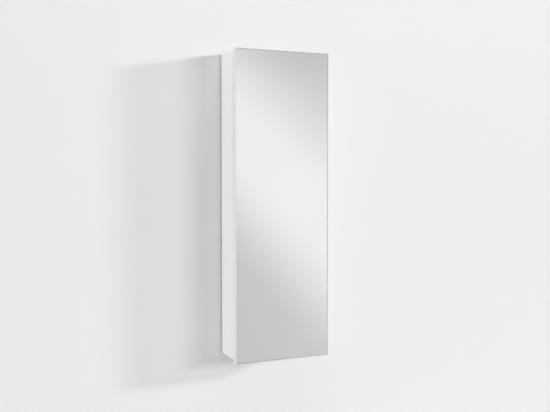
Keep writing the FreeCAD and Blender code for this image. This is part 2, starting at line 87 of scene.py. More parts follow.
lens = bpy.data.cameras.new("viewer")
lens.lens = lens.sensor_width * FOCAL_LENGTH_PX / IMAGE_WIDTH_PX
viewer = bpy.data.objects.new("viewer", lens)
viewer.location = CAMERA_PLACE
viewer.rotation_euler = (math.pi / 2 - CAMERA_TILT_DOWN, 0.0, -CAMERA_TURN_RIGHT)
scene = bpy.context.scene
scene.collection.objects.link(viewer)
scene.camera = viewer
scene.view_settings.view_transform = "Standard"
print(f"a {lens.lens:.1f} mm lens at {CAMERA_PLACE}")

# %% [markdown]
# ## Small helpers for shader nodes
# Every finish below is a little network of nodes. A few helpers keep the networks readable: they add a
# node, fill its inputs with numbers or with another node's output, and hand back its result. A Mix node
# has sockets for numbers and for colours under the same names, so those are picked by their place.

# %% Helpers that add and mix nodes
MIX_VALUES = {"kind": "FLOAT", "sockets": (0, 2, 3), "result": 0}
MIX_COLOURS = {"kind": "RGBA", "sockets": (0, 6, 7), "result": 2}


def fill(socket, value):
    """Links a socket to another node's output, or sets it to a plain value."""
    if isinstance(value, bpy.types.NodeSocket):
        socket.id_data.links.new(value, socket)
    else:
        socket.default_value = value


def add_node(tree, kind, options=None, **inputs):
    """Adds a node to the tree; an input's name is written with _ for each space."""
    node = tree.nodes.new("ShaderNode" + kind)
    for name, value in (options or {}).items():
        setattr(node, name, value)
    for name, value in inputs.items():
        fill(node.inputs[name.replace("_", " ")], value)
    return node


def calculate(tree, operation, *values):
    """A Math node's result; its inputs share one name, so they are filled in order."""
    node = add_node(tree, "Math", {"operation": operation})
    for socket, value in zip(node.inputs, values):
        fill(socket, value)
    return node.outputs[0]


def mix(tree, values, kind, sockets, result):
    """A Mix node's result: values are the share, what 0 gives and what 1 gives."""
    node = add_node(tree, "Mix", {"data_type": kind})
    for place, value in zip(sockets, values):
        fill(node.inputs[place], value)
    return node.outputs[result]


def mix_values(tree, share, low, high):
    """A number between low and high."""
    return mix(tree, (share, low, high), **MIX_VALUES)


def mix_colours(tree, share, low, high):
    """A colour between low and high."""
    return mix(tree, (share, low, high), **MIX_COLOURS)


def remap(tree, value, from_low, from_high, to_low=0.0, to_high=1.0):
    """A value eased from one range into another."""
    node = add_node(
        tree, "MapRange", {"interpolation_type": "SMOOTHSTEP"}, Value=value,
        From_Min=from_low, From_Max=from_high, To_Min=to_low, To_Max=to_high,
    )
    return node.outputs["Result"]


def grey(level):
    """A colour with no tint."""
    return (level, level, level, 1.0)


print("helpers ready")

# %% [markdown]
# ## The studio
# A mirror shows whatever stands in front of it, so the room matters more here than for most furniture.
# The room is a grey dome with one soft white band slanting across it. The mirror picks out the short
# stretch of the band that reads as a sheen from its upper left to its lower right. Two shorter bands do
# the same for a viewer straight in front or to the right, and can't be seen from where the photograph
# was taken. A band runs along a great circle of the dome, so one dot product with that circle's axis
# tells how far any way is from the band's middle line.

# %% Helpers that lay bands across the dome
BAND_CORE = math.sin(math.radians(1.0))


def vector_node(tree, operation, *values):
    """A Vector Math node's result, with its inputs filled in order."""
    node = add_node(tree, "VectorMath", {"operation": operation})
    for socket, value in zip(node.inputs, values):
        fill(socket, value)
    return node.outputs["Value" if operation == "DOT_PRODUCT" else "Vector"]


def way_to(right_deg, up_deg):
    """The way from the mirror to a place in the room, in degrees right of its front and upwards."""
    right, up = math.radians(right_deg), math.radians(up_deg)
    return Vector((math.sin(right) * math.cos(up), -math.cos(right) * math.cos(up), math.sin(up)))


def off_band(tree, way, through):
    """How far each way is from the line through two places, as the sine of an angle."""
    first, last = (way_to(*place) for place in through)
    axis = first.cross(last).normalized()
    return calculate(tree, "ABSOLUTE", vector_node(tree, "DOT_PRODUCT", way, axis))


def short_band(tree, way, through, reach, ends):
    """How white a band makes each way; it fades at its sides and its ends, given in degrees."""
    first, last = (way_to(*place) for place in through)
    middle = (first + last).normalized()
    side = math.sin(math.radians(reach))
    outer, inner = (math.cos(math.radians(angle)) for angle in ends)
    beside = remap(tree, off_band(tree, way, through), BAND_CORE, side, 1.0, 0.0)
    along = remap(tree, vector_node(tree, "DOT_PRODUCT", way, middle), outer, inner)
    return calculate(tree, "MULTIPLY", beside, along)


print("the front is the way", [round(part, 3) for part in way_to(0.0, 0.0)])

# %% [markdown]
# The bevels round the mirror's rim look further aside than its face, so the dome is lighter on the left,
# darker far to the right and a little darker above and below. The long band widens towards the right.
# All this shows only in glossy things. Matt ones get an even light from the dome, so that the lamps can
# model them, and a camera that looks past the wall sees plain pale paper.

# %% Paint the dome
DOME_GREYS = ((0.33, 0.79), (0.60, 0.584), (0.76, 0.689), (0.935, 0.20))
X_TO_RAMP = (0.5, 0.5)
DOME_FALL = 0.75
DOME_TOP = (0.10, 0.15)
DOME_TOP_SHADE = 0.93
BAND_THROUGH = ((21.2, 3.0), (27.9, -3.6))
BAND_REACH = math.sin(math.radians(8.4))
BAND_WIDENS, BAND_WIDTH = 0.825, 0.543
SHORT_BANDS = (
    {"through": ((-2.4, 5.0), (2.4, -4.0)), "reach": 4.2, "ends": (17.0, 9.0)},
    {"through": ((-54.0, 4.0), (-38.0, -26.0)), "reach": 7.0, "ends": (28.0, 15.0)},
)
BAND_WHITE = grey(0.947)
PAPER_WHITE = grey(0.90)
EVEN_LIGHT = grey(0.435)
BLACK = grey(0.0)


def grey_ramp(tree, place, greys):
    """A grey that eases from one (place, level) to the next."""
    node = add_node(tree, "ValToRGB", Fac=place)
    node.color_ramp.interpolation = "EASE"
    stops = node.color_ramp.elements
    stops[0].position, stops[-1].position = greys[0][0], greys[-1][0]
    for position, _ in greys[1:-1]:
        stops.new(position)
    for stop, (_, level) in zip(stops, greys):
        stop.color = grey(level)
    return node.outputs["Color"]


def dome_colour(tree, way):
    """The dome's colour along each way: greys from side to side, and the bands over them."""
    heading = add_node(tree, "SeparateXYZ", Vector=way).outputs
    across = calculate(tree, "MULTIPLY_ADD", heading["X"], *X_TO_RAMP)
    height = calculate(tree, "MULTIPLY", heading["Z"], heading["Z"])
    level = calculate(tree, "POWER", calculate(tree, "SUBTRACT", 1.0, height), DOME_FALL)
    top = remap(tree, heading["Z"], *DOME_TOP, 1.0, DOME_TOP_SHADE)
    level = calculate(tree, "MULTIPLY", level, top)
    colour = mix_colours(tree, level, BLACK, grey_ramp(tree, across, DOME_GREYS))
    width = calculate(tree, "MULTIPLY_ADD", heading["X"], BAND_WIDENS, BAND_WIDTH)
    width = calculate(tree, "MAXIMUM", width, BAND_WIDTH)
    beside = calculate(tree, "DIVIDE", off_band(tree, way, BAND_THROUGH), width)
    white = remap(tree, beside, BAND_CORE, BAND_REACH, 1.0, 0.0)
    colour = mix_colours(tree, white, colour, BAND_WHITE)
    for band in SHORT_BANDS:
        colour = mix_colours(tree, short_band(tree, way, **band), colour, BAND_WHITE)
    return colour


dome = bpy.data.worlds.new("studio_dome")
dome.use_nodes = True
scene.world = dome
dome_tree = dome.node_tree
painted = dome_colour(dome_tree, add_node(dome_tree, "TexCoord").outputs["Generated"])
ray = add_node(dome_tree, "LightPath").outputs
reflected = calculate(dome_tree, "MAXIMUM", ray["Is Glossy Ray"], ray["Is Transmission Ray"])
room_colour = mix_colours(dome_tree, reflected, EVEN_LIGHT, painted)
room_colour = mix_colours(dome_tree, ray["Is Camera Ray"], room_colour, PAPER_WHITE)
fill(dome_tree.nodes["Background"].inputs["Color"], room_colour)
print("dome painted with one long band and", len(SHORT_BANDS), "short ones")

# %% [markdown]
# ## The lamps
# The shadow on the wall tells where the light is. Its top edge runs almost level, its lower edge falls
# away to the left, and both are clean, so a small key lamp hangs far off to the right, a little above
# the cabinet, and grazes the wall. The same shadow fades towards the left, so a long lamp on that side
# runs away from the wall: its near end throws a long shadow and its far end a short one. A narrow lamp
# on the left, close to the wall, lifts the side board and hardly touches the wall. Two more light the
# top and the back, which the photograph doesn't show. None of them shows in the mirror, whose sheen
# comes from the dome alone.

# %% Hang the soft lamps
ORIGIN = (0.0, 0.0, 0.0)
LAMPS = {
    "key_lamp": {"place": (24.0, -9.6, 5.2), "aim": ORIGIN, "size": (3.0, 1.6), "watts": 2850.0},
    "long_lamp": {
        "place": (9.3, -14.0, 1.95), "aim": (0.0, -14.0, 1.95), "size": (12.0, 1.0), "watts": 1180.0,
    },
    "side_lamp": {
        "place": (-12.0, -0.5, 0.6), "aim": (0.0, -0.15, 0.0), "size": (0.8, 6.0), "watts": 700.0,
    },
    "top_lamp": {"place": (0.0, -1.2, 5.0), "aim": ORIGIN, "size": (3.0, 1.0), "watts": 68.0},
    "back_lamp": {"place": (0.0, 12.0, 3.0), "aim": ORIGIN, "size": (6.0, 4.0), "watts": 765.0},
}


def hang_lamp(name, place, aim, size, watts):
    """A soft rectangular lamp, size wide and high, that shines from place towards aim."""
    lamp = bpy.data.lights.new(name, "AREA")
    lamp.shape = "RECTANGLE"
    lamp.size, lamp.size_y = size
    lamp.energy = watts
    holder = bpy.data.objects.new(name, lamp)
    holder.location = place
    holder.rotation_euler = (Vector(aim) - Vector(place)).to_track_quat("-Z", "Y").to_euler()
    holder.visible_glossy = False
    scene.collection.objects.link(holder)


for lamp_name, lamp_facts in LAMPS.items():
    hang_lamp(lamp_name, **lamp_facts)
print(len(LAMPS), "lamps hung")

# %% [markdown]
# ## Wall and floor
# The wall is the stage that the cabinet hangs on, and the floor lies well below the picture. Both are
# seen from the front only: Backfacing turns them clear from behind, so a camera behind the wall still
# sees the cabinet's back. Light may pass the wall on its way to a surface that the camera sees, which
# keeps that back lit. Light that has already bounced may not, which keeps the narrow gap behind the side
# board dark. A glow, which only the camera sees, keeps the floor pale where little light falls on it.

# %% Mix the stage's paint
PAINT_GRAIN = {"Scale": 300.0, "Detail": 2.0}
PAINT_RELIEF = {"Strength": 0.04, "Distance": MM}
ANY_BOUNCE = 0.5
WALL_WHITE = grey(0.86)
FLOOR_WHITE = grey(0.78)
FLOOR_GLOW = 0.10


def solid_share(tree, ray, lets_light_by):
    """1 where a ray meets the paint and 0 where the paint is clear to it."""
    solid = calculate(tree, "SUBTRACT", 1.0, add_node(tree, "NewGeometry").outputs["Backfacing"])
    if not lets_light_by:
        return solid
    seen = calculate(tree, "MAXIMUM", ray["Is Camera Ray"], ray["Is Glossy Ray"])
    seen = calculate(tree, "MAXIMUM", seen, ray["Is Transmission Ray"])
    bounces = calculate(tree, "SUBTRACT", ray["Diffuse Depth"], ray["Is Diffuse Ray"])
    seen = calculate(tree, "MAXIMUM", seen, calculate(tree, "GREATER_THAN", bounces, ANY_BOUNCE))
    return calculate(tree, "MULTIPLY", solid, seen)


def join_shaders(node, first, second):
    """Feeds two shaders to the last two inputs of a node that joins them."""
    fill(node.inputs[-2], first.outputs[0])
    fill(node.inputs[-1], second.outputs[0])
    return node


def stage_paint(name, colour, lets_light_by, glow=0.0):
    """Matt paint that is clear from behind, and to first light where lets_light_by is true."""
    material = bpy.data.materials.new(name)
    material.use_nodes = True
    tree = material.node_tree
    tree.nodes.clear()
    ray = add_node(tree, "LightPath").outputs
    grain = add_node(tree, "TexNoise", **PAINT_GRAIN).outputs["Fac"]
    relief = add_node(tree, "Bump", Height=grain, **PAINT_RELIEF)
    paint = add_node(tree, "BsdfDiffuse", Color=colour, Normal=relief.outputs["Normal"])
    shine = calculate(tree, "MULTIPLY", ray["Is Camera Ray"], glow)
    light = add_node(tree, "Emission", Strength=shine)
    pale = join_shaders(add_node(tree, "AddShader"), paint, light)
    either = add_node(tree, "MixShader", Fac=solid_share(tree, ray, lets_light_by))
    join_shaders(either, add_node(tree, "BsdfTransparent"), pale)
    fill(add_node(tree, "OutputMaterial").inputs["Surface"], either.outputs[0])
    return material


wall_paint = stage_paint("wall_paint", WALL_WHITE, lets_light_by=True)
floor_paint = stage_paint("floor_paint", FLOOR_WHITE, lets_light_by=False, glow=FLOOR_GLOW)
print("mixed", wall_paint.name, "and", floor_paint.name)

# %% [markdown]
# The sheets are plain rectangles. The floor comes in two, parted at the wall: the one behind is there
# for a camera that looks at the cabinet's back, and sends no light to the cabinet.

# %% Stand the wall on the floor
FLOOR_LEVEL = -1.45
STAGE_REACH = 6.0
WALL_TOP = 4.0
WALL_CLEARANCE = 0.2 * MM


def stage_sheet(name, corners, material):
    """A flat piece of the stage through four corners, seen from the side its normal points to."""
    mesh = bpy.data.meshes.new(name)
    mesh.from_pydata(corners, [], [range(len(corners))])
    mesh.materials.append(material)
    sheet = bpy.data.objects.new(name, mesh)
    scene.collection.objects.link(sheet)
    return sheet


wall_y = CAD_BOX[1][1] + WALL_CLEARANCE
stage_sheet("wall", [
    (-STAGE_REACH, wall_y, FLOOR_LEVEL), (STAGE_REACH, wall_y, FLOOR_LEVEL),
    (STAGE_REACH, wall_y, WALL_TOP), (-STAGE_REACH, wall_y, WALL_TOP),
], wall_paint)
FLOORS = {"floor": (-STAGE_REACH, wall_y), "back_floor": (wall_y, STAGE_REACH)}
for floor_name, (near, far) in FLOORS.items():
    floor = stage_sheet(floor_name, [
        (-STAGE_REACH, near, FLOOR_LEVEL), (STAGE_REACH, near, FLOOR_LEVEL),
        (STAGE_REACH, far, FLOOR_LEVEL), (-STAGE_REACH, far, FLOOR_LEVEL),
    ], floor_paint)
    floor.visible_glossy = False
    floor.visible_diffuse = near < wall_y
print("wall at y =", round(wall_y, 4), "and floor at z =", FLOOR_LEVEL)

# %% [markdown]
# ## Effects that several finishes share
# Pressed boards, powder coat and moulded plastic all have a fine pebble and a faint unevenness of tone,
# so that effect is one node group with its own inputs. A group gives out only values and colours that
# change over the surface, and the shader stays in the material.

# %% A group for pebbled skins
PEBBLE_DETAIL = 2.0
CLOUD_DETAIL = 4.0
CLOUD_RANGE = (0.3, 0.7)


def new_group(name, inputs, outputs):
    """An empty node group; returns its tree, its inputs and its outputs."""
    group = bpy.data.node_groups.new(name, "ShaderNodeTree")
    for socket, kind, value in inputs:
        entry = group.interface.new_socket(socket, in_out="INPUT", socket_type="NodeSocket" + kind)
        entry.default_value = value
    for socket, kind in outputs:
        group.interface.new_socket(socket, in_out="OUTPUT", socket_type="NodeSocket" + kind)
    source = group.nodes.new("NodeGroupInput")
    target = group.nodes.new("NodeGroupOutput")
    return group, source.outputs, target.inputs


def place_group(tree, group, **inputs):
    """Puts a group into a material with its own values and returns its outputs."""
    return add_node(tree, "Group", {"node_tree": group}, **inputs).outputs


def noise(tree, spot, scale, detail):
    """Soft noise with so many grains to the metre."""
    return add_node(tree, "TexNoise", Vector=spot, Scale=scale, Detail=detail).outputs["Fac"]


pebbled_skin, given, result = new_group(
    "pebbled_skin",
    [("Grains Per Metre", "Float", 900.0), ("Clouds Per Metre", "Float", 7.0)],
    [("Height", "Float"), ("Tone", "Float")],
)
spot = add_node(pebbled_skin, "TexCoord").outputs["Object"]
clouds = noise(pebbled_skin, spot, given["Clouds Per Metre"], CLOUD_DETAIL)
fill(result["Height"], noise(pebbled_skin, spot, given["Grains Per Metre"], PEBBLE_DETAIL))
fill(result["Tone"], remap(pebbled_skin, clouds, *CLOUD_RANGE))
print("group", pebbled_skin.name)

# %% [markdown]
# Glass, chrome and white boards keep the faint trails of the cloth that last wiped them. The trails are
# long noise, so the group stretches its coordinates along one way before it asks for noise, and keeps
# only the strongest part. The same stretched noise, much finer, is the grain that a polishing belt
# leaves in metal and in a glass edge.

# %% Groups for wiped trails and belt lines
TRAIL_NOISE = {"scale": 11.0, "detail": 5.0}
TRAIL_RANGE = (0.48, 0.74)
LINE_NOISE = {"scale": 2600.0, "detail": 3.0}
LINE_RANGE = (0.3, 0.7)


def stretched_noise(tree, stretch, scale, detail):
    """Noise whose coordinates are stretched by the group's own input."""
    spot = add_node(tree, "TexCoord").outputs["Object"]
    return noise(tree, vector_node(tree, "MULTIPLY", spot, stretch), scale, detail)


wiped_trails, given, result = new_group(
    "wiped_trails", [("Stretch", "Vector", (1.0, 1.0, 0.25))], [("Trail", "Float")])
trails = stretched_noise(wiped_trails, given["Stretch"], **TRAIL_NOISE)
fill(result["Trail"], remap(wiped_trails, trails, *TRAIL_RANGE))

belt_lines, given, result = new_group(
    "belt_lines", [("Stretch", "Vector", (1.0, 1.0, 0.02))], [("Line", "Float")])
lines = stretched_noise(belt_lines, given["Stretch"], **LINE_NOISE)
fill(result["Line"], remap(belt_lines, lines, *LINE_RANGE))
print("groups", wiped_trails.name, "and", belt_lines.name)

# %% [markdown]
# ## White boards
# A board is chipboard pressed between two white skins, with a thin white band glued round its edges. The
# joint between skin and band is a hair line, and the core shows only where a saw or a drill has opened
# it: in grooves, in holes, on the edges that face the wall and on the rails' long edges. All of it can
# be worked out from a point's depth below the board's own box and from the way its surface faces, so no
# line has to be drawn by hand and every drilled hole gets its core.

# %% A group that finds a board's band joint and bare core
SKIN_DEPTH = 0.6 * MM
BAND_THICKNESS = 1.0 * MM
JOINT_WIDTH = 0.25 * MM
SQUARELY = 0.8
FAR_ASIDE = (10.0, 10.0, 10.0)


def smallest_part(tree, vector):
    """The smallest of a vector's three numbers."""
    x, y, z = add_node(tree, "SeparateXYZ", Vector=vector).outputs
    return calculate(tree, "MINIMUM", calculate(tree, "MINIMUM", x, y), z)


board_edges, given, result = new_group(
    "board_edges",
    [
        ("Middle", "Vector", (0, 0, 0)), ("Half Size", "Vector", (1, 1, 1)),
        ("Face", "Vector", (0, 1, 0)), ("Bare Side", "Vector", (0, 0, 0)),
        ("Other Bare Side", "Vector", (0, 0, 0)),
    ],
    [("Core", "Float"), ("Joint", "Float")],
)
here = add_node(board_edges, "TexCoord").outputs
offset = vector_node(board_edges, "SUBTRACT", here["Object"], given["Middle"])
offset = vector_node(board_edges, "ABSOLUTE", offset)
depth = vector_node(board_edges, "SUBTRACT", given["Half Size"], offset)
core = calculate(board_edges, "GREATER_THAN", smallest_part(board_edges, depth), SKIN_DEPTH)
for side in ("Bare Side", "Other Bare Side"):
    facing = vector_node(board_edges, "DOT_PRODUCT", here["Normal"], given[side])
    bare = calculate(board_edges, "GREATER_THAN", facing, SQUARELY)
    core = calculate(board_edges, "MAXIMUM", core, bare)
fill(result["Core"], core)
aside = vector_node(board_edges, "MULTIPLY", given["Face"], FAR_ASIDE)
inset = smallest_part(board_edges, vector_node(board_edges, "ADD", depth, aside))
from_joint = calculate(board_edges, "SUBTRACT", inset, BAND_THICKNESS)
from_joint = calculate(board_edges, "ABSOLUTE", from_joint)
fill(result["Joint"], remap(board_edges, from_joint, 0.0, JOINT_WIDTH, 1.0, 0.0))
print("group", board_edges.name)

# %% [markdown]
# Chipboard is a crowd of flat wood flakes in glue. Cells of a Voronoi pattern make the flakes, each with
# its own tone, and a finer noise roughens them.

# %% A group for the chipboard core
CHIP_TONES = ((0.27, 0.17, 0.085, 1.0), (0.62, 0.47, 0.29, 1.0))
FIBRE_NOISE = {"scale": 1800.0, "detail": 3.0}
FIBRE_SHARE = 0.35

chip_core, given, result = new_group(
    "chip_core", [("Flakes Per Metre", "Float", 420.0)], [("Colour", "Color"), ("Height", "Float")])
spot = add_node(chip_core, "TexCoord").outputs["Object"]
flakes = add_node(chip_core, "TexVoronoi", Vector=spot, Scale=given["Flakes Per Metre"])
tone = add_node(chip_core, "SeparateXYZ", Vector=flakes.outputs["Color"]).outputs["X"]
shade = mix_values(chip_core, FIBRE_SHARE, tone, noise(chip_core, spot, **FIBRE_NOISE))
fill(result["Colour"], mix_colours(chip_core, shade, *CHIP_TONES))
fill(result["Height"], shade)
print("group", chip_core.name)

# %% [markdown]
# A board's finish joins these effects. The white has a cloudiness of less than one part in thirty, so
# that large faces don't look like plastic, and the skin's pebble is only a few hundredths of a
# millimetre deep. Each board has its own copy, because the joint and the core are found from that
# board's box.

# %% Finish the boards
SKIN_TONES = ((0.775, 0.775, 0.774, 1.0), (0.796, 0.796, 0.795, 1.0))
SKIN_PEBBLE = {"Grains_Per_Metre": 1100.0, "Clouds_Per_Metre": 5.0}
SKIN_ROUGHNESS = (0.34, 0.42)
SKIN_RELIEF_SHARE = 0.08
JOINT_GREY = (0.58, 0.57, 0.54, 1.0)
CORE_ROUGHNESS = 0.85
CORE_RELIEF = 0.3 * MM
ACROSS, INTO_WALL, UP, DOWN, NOWHERE = (1, 0, 0), (0, 1, 0), (0, 0, 1), (0, 0, -1), (0, 0, 0)


def new_finish(name, **plain):
    """A material with one shader; what is the same all over is set on the shader's own sockets."""
    material = bpy.data.materials.new(name)
    material.use_nodes = True
    shader = material.node_tree.nodes["Principled BSDF"]
    for socket, value in plain.items():
        shader.inputs[socket.replace("_", " ")].default_value = value
    return material, material.node_tree, shader.inputs


def raise_relief(tree, sockets, height, depth):
    """Bumps a finish by a height map that is depth metres deep."""
    relief = add_node(tree, "Bump", Height=height, Distance=depth, Strength=1.0)
    fill(sockets["Normal"], relief.outputs["Normal"])


def dress(node, material):
    """Gives a solid its finish."""
    body = NODES[node]
    if not body.material_slots:
        body.data.materials.append(material)
    for slot in body.material_slots:
        slot.material = material


def board_finish(node, face, bare_side=NOWHERE, other_bare_side=NOWHERE):
    """White board whose wide faces look along face, with the core bare on up to two sides."""
    low, high = (Vector(corner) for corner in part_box(node))
    material, tree, sockets = new_finish(node + "_finish", IOR=1.5)
    edges = place_group(
        tree, board_edges, Middle=(low + high) / 2, Half_Size=(high - low) / 2, Face=face,
        Bare_Side=bare_side, Other_Bare_Side=other_bare_side,
    )
    skin = place_group(tree, pebbled_skin, **SKIN_PEBBLE)
    chips = place_group(tree, chip_core)
    trails = place_group(tree, wiped_trails)
    white = mix_colours(tree, skin["Tone"], *SKIN_TONES)
    white = mix_colours(tree, edges["Joint"], white, JOINT_GREY)
    fill(sockets["Base Color"], mix_colours(tree, edges["Core"], white, chips["Colour"]))
    sheen = mix_values(tree, trails["Trail"], *SKIN_ROUGHNESS)
    fill(sockets["Roughness"], mix_values(tree, edges["Core"], sheen, CORE_ROUGHNESS))
    faint = calculate(tree, "MULTIPLY", skin["Height"], SKIN_RELIEF_SHARE)
    height = mix_values(tree, edges["Core"], faint, chips["Height"])
    raise_relief(tree, sockets, height, CORE_RELIEF)
    return material


BOARDS = {
    "side_panel_left": (ACROSS, INTO_WALL), "side_panel_right": (ACROSS, INTO_WALL),
    "top_panel": (UP, INTO_WALL), "bottom_panel": (UP, INTO_WALL), "door_panel": (INTO_WALL,),
    "hanging_rail_upper": (INTO_WALL, UP, DOWN), "hanging_rail_lower": (INTO_WALL, UP, DOWN),
}
for board, sides in BOARDS.items():
    dress(board, board_finish(board, *sides))
print(len(BOARDS), "boards finished")

# %% [markdown]
# ## The back sheet
# The thin sheet in the grooves is hardboard, lacquered white on the side that the shoes see. Its back,
# towards the wall, is bare and brown with a woven print from the press. The surface normal says which
# side is which.

# %% Finish the back sheet
LACQUER_TONES = ((0.75, 0.75, 0.746, 1.0), (0.778, 0.778, 0.774, 1.0))
LACQUER_PEBBLE = {"Grains_Per_Metre": 700.0, "Clouds_Per_Metre": 9.0}
LACQUER_ROUGHNESS = (0.40, 0.48)
LACQUER_RELIEF_SHARE = 0.15
HARDBOARD_TONES = ((0.20, 0.115, 0.06, 1.0), (0.30, 0.18, 0.095, 1.0))
HARDBOARD_FLAKES = 900.0
HARDBOARD_FLAKE_SHARE = 0.35
HARDBOARD_ROUGHNESS = 0.88
SCREEN_SCALE = 110.0
SCREEN_RELIEF = 0.2 * MM
TOWARDS_SHOES = -0.5


def pressed_screen(tree, spot, direction):
    """One set of the ridges that a wire screen presses into the sheet."""
    options = {"bands_direction": direction}
    return add_node(tree, "TexWave", options, Vector=spot, Scale=SCREEN_SCALE).outputs["Fac"]


def back_sheet_finish():
    """White lacquer inside the cabinet, bare brown fibre towards the wall."""
    material, tree, sockets = new_finish("back_sheet_finish", IOR=1.45)
    here = add_node(tree, "TexCoord").outputs
    outward = vector_node(tree, "DOT_PRODUCT", here["Normal"], INTO_WALL)
    inside = calculate(tree, "LESS_THAN", outward, TOWARDS_SHOES)
    skin = place_group(tree, pebbled_skin, **LACQUER_PEBBLE)
    chips = place_group(tree, chip_core, Flakes_Per_Metre=HARDBOARD_FLAKES)
    ridges = [pressed_screen(tree, here["Object"], direction) for direction in ("X", "Z")]
    weave = calculate(tree, "MAXIMUM", *ridges)
    lacquer = mix_colours(tree, skin["Tone"], *LACQUER_TONES)
    fibre = mix_colours(tree, weave, *HARDBOARD_TONES)
    fibre = mix_colours(tree, HARDBOARD_FLAKE_SHARE, fibre, chips["Colour"])
    fill(sockets["Base Color"], mix_colours(tree, inside, fibre, lacquer))
    sheen = mix_values(tree, skin["Tone"], *LACQUER_ROUGHNESS)
    fill(sockets["Roughness"], mix_values(tree, inside, HARDBOARD_ROUGHNESS, sheen))
    faint = calculate(tree, "MULTIPLY", skin["Height"], LACQUER_RELIEF_SHARE)
    raise_relief(tree, sockets, mix_values(tree, inside, weave, faint), SCREEN_RELIEF)
    return material


dress("back_panel", back_sheet_finish())
print("back sheet finished")

# %% [markdown]
# ## The mirror
# The mirror is a 4 mm pane, silvered behind and glued over the whole door. Its face slopes a little all
# round, and the cut edge shows the green of the glass. One material can't be all of that, so there is a
# finish for the silvered face with its slope, one for the ground edge and one for the paint behind. Each
# varies its colour and its roughness by masks, as the finishes after it do, so one helper does that for
# all of them.

# %% Finishes of the pane
SILVER_TONES = (grey(0.900), grey(0.912))
SILVER_CLOUDS = 2.5
SILVER_TRAILS = (0.5, 1.0, 0.12)
SILVER_ROUGHNESS = (0.012, 0.03)
RIM_TONES = ((0.665, 0.685, 0.675, 1.0), (0.76, 0.775, 0.768, 1.0))
RIM_LINES = (0.05, 1.0, 0.05)
RIM_ROUGHNESS = (0.10, 0.22)
BACKING_TONES = ((0.20, 0.21, 0.21, 1.0), (0.25, 0.26, 0.26, 1.0))
BACKING_PEBBLE = {"Grains_Per_Metre": 500.0, "Clouds_Per_Metre": 12.0}
BACKING_ROUGHNESS = (0.55, 0.7)
BACKING_RELIEF = 0.05 * MM


def vary(tree, sockets, tone, tones, polish, roughness):
    """Varies a finish between two tones by the mask tone and two roughnesses by the mask polish."""
    fill(sockets["Base Color"], mix_colours(tree, tone, *tones))
    fill(sockets["Roughness"], mix_values(tree, polish, *roughness))


def silver_finish():
    """Silvered glass with the faintest trails of a cloth."""
    material, tree, sockets = new_finish("silvered_face", Metallic=1.0)
    trails = place_group(tree, wiped_trails, Stretch=SILVER_TRAILS)
    clouds = place_group(tree, pebbled_skin, Clouds_Per_Metre=SILVER_CLOUDS)
    vary(tree, sockets, clouds["Tone"], SILVER_TONES, trails["Trail"], SILVER_ROUGHNESS)
    return material


def rim_finish():
    """Ground and polished glass edge, darker and greener than the face."""
    material, tree, sockets = new_finish("ground_rim", Metallic=0.0, IOR=1.52, Coat_Weight=0.5)
    lines = place_group(tree, belt_lines, Stretch=RIM_LINES)
    vary(tree, sockets, lines["Line"], RIM_TONES, lines["Line"], RIM_ROUGHNESS)
    return material


def backing_finish():
    """Grey protective paint behind the silver."""
    material, tree, sockets = new_finish("backing_paint", IOR=1.45)
    skin = place_group(tree, pebbled_skin, **BACKING_PEBBLE)
    vary(tree, sockets, skin["Tone"], BACKING_TONES, skin["Tone"], BACKING_ROUGHNESS)
    raise_relief(tree, sockets, skin["Height"], BACKING_RELIEF)
    return material


PANE_FINISHES = [silver_finish(), rim_finish(), backing_finish()]
print(len(PANE_FINISHES), "finishes for the pane")

# %% [markdown]
# A solid has one finish, so the pane is a new mesh that can carry three. Three rings of four points are
# enough: the back, the shoulder where the slope starts, and the face inside the slope. The new pane
# fills exactly the space of the solid that it stands for, and turns with the door as that one does.

# %% Cut the pane
BEVEL_WIDTH = 3.0 * MM
BEVEL_DEPTH = 1.1 * MM
FACE, RIM, BACK = range(len(PANE_FINISHES))


def pane_ring(mesh, low, high, y, inset):
    """Four corner points of the pane at one depth, drawn in by inset."""
    left, right, foot, top = low.x + inset, high.x - inset, low.z + inset, high.z - inset
    corners = ((left, foot), (right, foot), (right, top), (left, top))
    return [mesh.verts.new((x, y, z)) for x, z in corners]


def cut_pane(low, high):
    """The pane between two corners: back, shoulder and face rings, closed at both ends."""
    mesh = bmesh.new()
    rings = [
        pane_ring(mesh, low, high, high.y, 0.0),
        pane_ring(mesh, low, high, low.y + BEVEL_DEPTH, 0.0),
        pane_ring(mesh, low, high, low.y, BEVEL_WIDTH),
    ]
    mesh.faces.new(reversed(rings[0])).material_index = BACK
    mesh.faces.new(rings[-1]).material_index = FACE
    for outer, inner, finish in zip(rings, rings[1:], (RIM, FACE)):
        for start in range(len(outer)):
            end = (start + 1) % len(outer)
            side = mesh.faces.new((outer[start], outer[end], inner[end], inner[start]))
            side.material_index = finish
    bmesh.ops.recalc_face_normals(mesh, faces=mesh.faces)
    data = bpy.data.meshes.new("mirror_pane")
    mesh.to_mesh(data)
    mesh.free()
    return data


pane_box = [Vector(corner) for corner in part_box("mirror_glass")]
pane = bpy.data.objects.new("mirror_pane", cut_pane(*pane_box))
for finish in PANE_FINISHES:
    pane.data.materials.append(finish)
scene.collection.objects.link(pane)
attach(pane, "door")
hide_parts("mirror_glass")
pane_size = [round(length, 3) for length in pane_box[1] - pane_box[0]]
print("pane of", len(pane.data.polygons), "faces,", pane_size)

# %% [markdown]
# ## Steel shelves
# The toe shelves are bent sheet steel under white powder coat. Powder melts into a fine even pebble, a
# little rougher than the boards, which is what tells the two whites apart at close range.

# %% Finish the toe shelves
POWDER_TONES = ((0.776, 0.776, 0.774, 1.0), (0.804, 0.804, 0.801, 1.0))
POWDER_PEBBLE = {"Grains_Per_Metre": 1500.0, "Clouds_Per_Metre": 14.0}
POWDER_ROUGHNESS = (0.38, 0.58)
POWDER_RELIEF = 0.12 * MM


